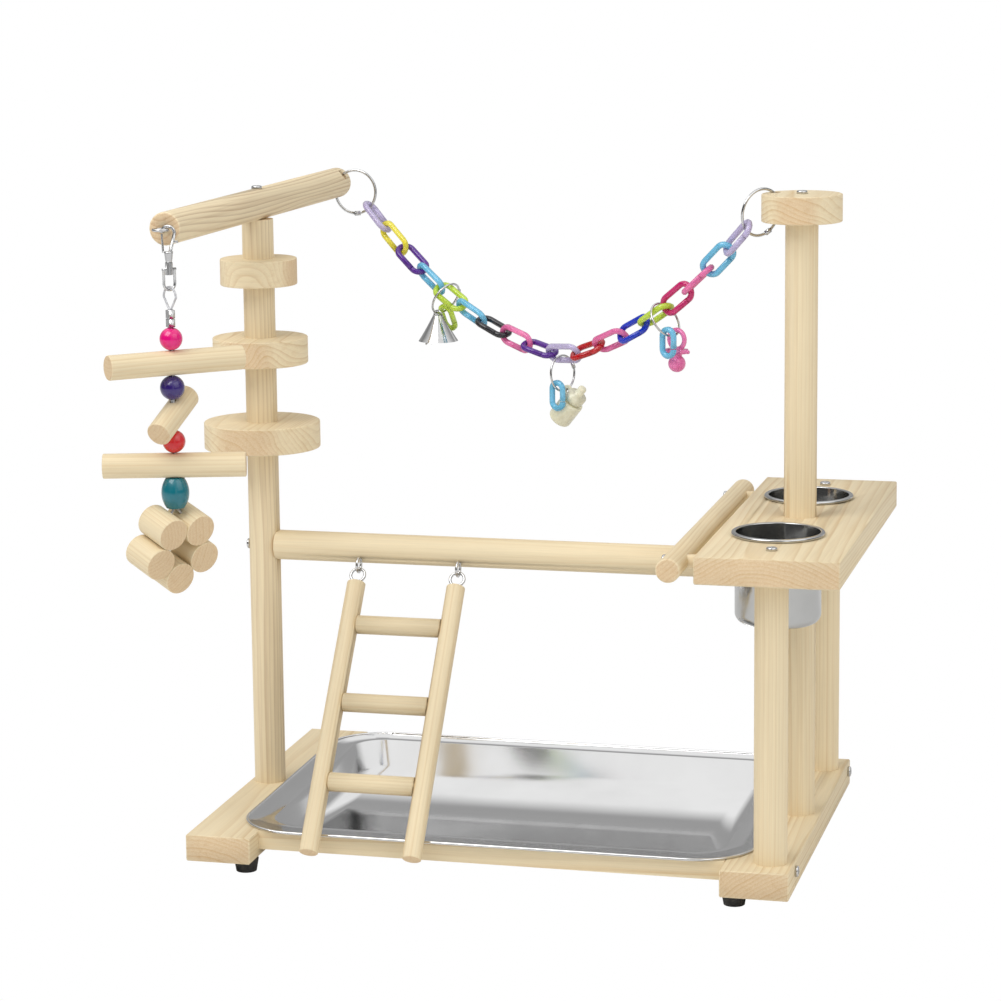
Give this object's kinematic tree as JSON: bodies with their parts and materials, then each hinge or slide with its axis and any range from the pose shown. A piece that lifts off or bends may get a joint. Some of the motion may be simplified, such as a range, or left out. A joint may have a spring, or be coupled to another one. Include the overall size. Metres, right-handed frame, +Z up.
{
  "type": "parrot play stand",
  "caption": "Tabletop wooden bird play gym with perches, step discs, food cups on a shelf, litter tray, ladder, plastic chain with charms and a hanging toy.",
  "frame": {"origin": "centre of the bounding box at the level of the feet", "axes": "+X along the base from the ladder and toy side to the shelf side, +Y to the back, +Z up"},
  "size_m": [0.4802, 0.381, 0.4575],
  "materials": {
    "pine": "smooth unfinished pine",
    "pine_dark": "smooth unfinished pine, darker",
    "steel": "satin stainless",
    "zinc": "zinc-plated wire",
    "rubber": "matte rubber",
    "links": "glossy translucent plastic, mixed colours",
    "lime": "glossy translucent plastic",
    "sky": "glossy translucent plastic",
    "cream": "glossy plastic",
    "pink": "glossy plastic",
    "indigo": "glossy plastic",
    "red": "glossy plastic",
    "teal": "glossy plastic",
    "cable": "clear-coated wire cable"
  },
  "bodies": {
    "stand": {"left_base_board": "pine", "right_base_board": "pine", "front_rail": "pine", "back_rail": "pine", "rubber_feet": "rubber", "left_post": "pine_dark", "tall_post": "pine", "front_leg": "pine", "back_leg": "pine", "step_disc_low": "pine", "step_disc_middle": "pine", "step_disc_high": "pine", "shelf": "pine", "top_disc": "pine", "top_perch": "pine_dark", "cross_perch": "pine", "side_perch": "pine", "side_perch_spacers": "pine", "board_screws": "zinc", "frame_screws": "zinc", "foot_screws": "zinc", "perch_eyes": "zinc", "end_rings": "zinc", "toy_eye": "zinc"},
    "tray": {"tray": "steel"},
    "cup_front": {"cup_front": "steel"},
    "cup_back": {"cup_back": "steel"},
    "ladder": {"ladder_left_rail": "pine", "ladder_right_rail": "pine", "ladder_rungs": "pine", "ladder_eyes": "zinc"},
    "chain": {"chain_links_odd": "links", "chain_links_even": "links"},
    "bell_ring": {"bell_ring": "zinc"},
    "bell": {"bell": "zinc"},
    "clapper": {"bell_clapper": "zinc"},
    "bell_link": {"bell_link": "lime"},
    "bottle_ring": {"bottle_ring": "zinc"},
    "bottle": {"bottle": "cream"},
    "bottle_link": {"bottle_link": "sky"},
    "pacifier_ring": {"pacifier_ring": "zinc"},
    "pacifier": {"pacifier": "pink"},
    "pacifier_link": {"pacifier_link": "sky"},
    "hook": {"hook_body": "zinc"},
    "gate": {"hook_gate": "zinc"},
    "swivel": {"swivel": "zinc"},
    "string": {"toy_cable": "cable", "ferrule": "zinc", "toy_blocks": "pine"},
    "pink_bead": {"pink_bead": "pink"},
    "upper_dowel": {"upper_dowel": "pine"},
    "indigo_bead": {"indigo_bead": "indigo"},
    "short_dowel": {"short_dowel": "pine"},
    "red_bead": {"red_bead": "red"},
    "lower_dowel": {"lower_dowel": "pine"},
    "barrel_bead": {"barrel_bead": "teal"}
  },
  "joints": [
    {"name": "tray_tip", "type": "hinge", "parent": "stand", "child": "tray", "pos_m": [0.00088, -0.10803, 0.028], "axis": [1, 0, 0], "range_deg": [0, 20]},
    {"name": "cup_front_lift", "type": "slide", "parent": "stand", "child": "cup_front", "axis": [0, 0, 1], "range_m": [0, 0.065]},
    {"name": "cup_back_lift", "type": "slide", "parent": "stand", "child": "cup_back", "axis": [0, 0, 1], "range_m": [0, 0.065]},
    {"name": "ladder_swing", "type": "hinge", "parent": "stand", "child": "ladder", "pos_m": [-0.08062, 0.00721, 0.18811], "axis": [-1, 0, 0], "range_deg": [0, 75]},
    {"name": "chain_swing", "type": "hinge", "parent": "stand", "child": "chain", "pos_m": [0.00082, 0.09501, 0.42783], "axis": [0.8834, -0.4685, 0.014], "range_deg": [-18, 18]},
    {"name": "bell_ring_swing", "type": "hinge", "parent": "chain", "child": "bell_ring", "pos_m": [-0.08397, 0.14559, 0.37026], "axis": [0.7726, -0.4097, -0.4849], "range_deg": [-20, 2]},
    {"name": "bell_swing", "type": "hinge", "parent": "bell_ring", "child": "bell", "pos_m": [-0.09473, 0.14779, 0.35126], "axis": [0.4685, 0.8834, 0], "range_deg": [-20, 20]},
    {"name": "bell_link_swing", "type": "hinge", "parent": "bell_ring", "child": "bell_link", "pos_m": [-0.09059, 0.15433, 0.35232], "axis": [0.428, 0.8071, 0.4067], "range_deg": [-10, 10]},
    {"name": "bottle_ring_swing", "type": "hinge", "parent": "chain", "child": "bottle_ring", "pos_m": [0.01063, 0.09291, 0.32679], "axis": [0.8809, -0.4672, 0.0761], "range_deg": [-20, 20]},
    {"name": "bottle_swing", "type": "hinge", "parent": "bottle_ring", "child": "bottle", "pos_m": [0.01393, 0.09569, 0.30556], "axis": [0.4685, 0.8834, 0], "range_deg": [-15, 15]},
    {"name": "bottle_link_swing", "type": "hinge", "parent": "bottle_ring", "child": "bottle_link", "pos_m": [0.00885, 0.0863, 0.30682], "axis": [0.4685, 0.8834, 0], "range_deg": [-10, 10]},
    {"name": "pacifier_ring_swing", "type": "hinge", "parent": "chain", "child": "pacifier_ring", "pos_m": [0.08905, 0.04174, 0.37091], "axis": [0.7481, -0.3967, 0.532], "range_deg": [-2, 20]},
    {"name": "pacifier_swing", "type": "hinge", "parent": "pacifier_ring", "child": "pacifier", "pos_m": [0.10273, 0.0449, 0.35404], "axis": [0.4685, 0.8834, 0], "range_deg": [-20, 20]},
    {"name": "pacifier_link_swing", "type": "hinge", "parent": "pacifier_ring", "child": "pacifier_link", "pos_m": [0.09823, 0.03629, 0.35395], "axis": [0.4685, 0.8834, 0], "range_deg": [-10, 10]},
    {"name": "clapper_swing", "type": "hinge", "parent": "bell", "child": "clapper", "pos_m": [-0.09473, 0.14779, 0.34546], "axis": [0.7726, -0.4097, -0.4849], "range_deg": [-20, 20]},
    {"name": "hook_swing", "type": "hinge", "parent": "stand", "child": "hook", "pos_m": [-0.19279, -0.15498, 0.4424], "axis": [0.0436, 0.999, 0], "range_deg": [-15, 15]},
    {"name": "gate_pivot", "type": "hinge", "parent": "hook", "child": "gate", "pos_m": [-0.19661, -0.15482, 0.4277], "axis": [0.0436, 0.999, 0], "range_deg": [0, 20], "stiffness_Nm_per_rad": 0.004, "springref_deg": -11.46},
    {"name": "swivel_spin", "type": "hinge", "parent": "hook", "child": "swivel", "pos_m": [-0.19279, -0.15498, 0.4213], "axis": [0, 0, 1], "continuous": true},
    {"name": "string_swing", "type": "hinge", "parent": "swivel", "child": "string", "pos_m": [-0.19279, -0.15498, 0.4034], "axis": [0.6428, 0.766, 0], "range_deg": [-20, 20]},
    {"name": "pink_bead_spin", "type": "hinge", "parent": "string", "child": "pink_bead", "pos_m": [-0.19279, -0.15498, 0.3714], "axis": [0, 0, 1], "continuous": true},
    {"name": "upper_dowel_spin", "type": "hinge", "parent": "string", "child": "upper_dowel", "pos_m": [-0.19279, -0.15498, 0.35565], "axis": [0, 0, 1], "continuous": true},
    {"name": "indigo_bead_spin", "type": "hinge", "parent": "string", "child": "indigo_bead", "pos_m": [-0.19279, -0.15498, 0.3393], "axis": [0, 0, 1], "continuous": true},
    {"name": "short_dowel_spin", "type": "hinge", "parent": "string", "child": "short_dowel", "pos_m": [-0.19279, -0.15498, 0.32127], "axis": [0, 0, 1], "continuous": true},
    {"name": "red_bead_spin", "type": "hinge", "parent": "string", "child": "red_bead", "pos_m": [-0.19279, -0.15498, 0.30378], "axis": [0, 0, 1], "continuous": true},
    {"name": "lower_dowel_spin", "type": "hinge", "parent": "string", "child": "lower_dowel", "pos_m": [-0.19279, -0.15498, 0.28793], "axis": [0, 0, 1], "continuous": true},
    {"name": "barrel_bead_spin", "type": "hinge", "parent": "string", "child": "barrel_bead", "pos_m": [-0.19279, -0.15498, 0.26968], "axis": [0, 0, 1], "continuous": true}
  ]
}
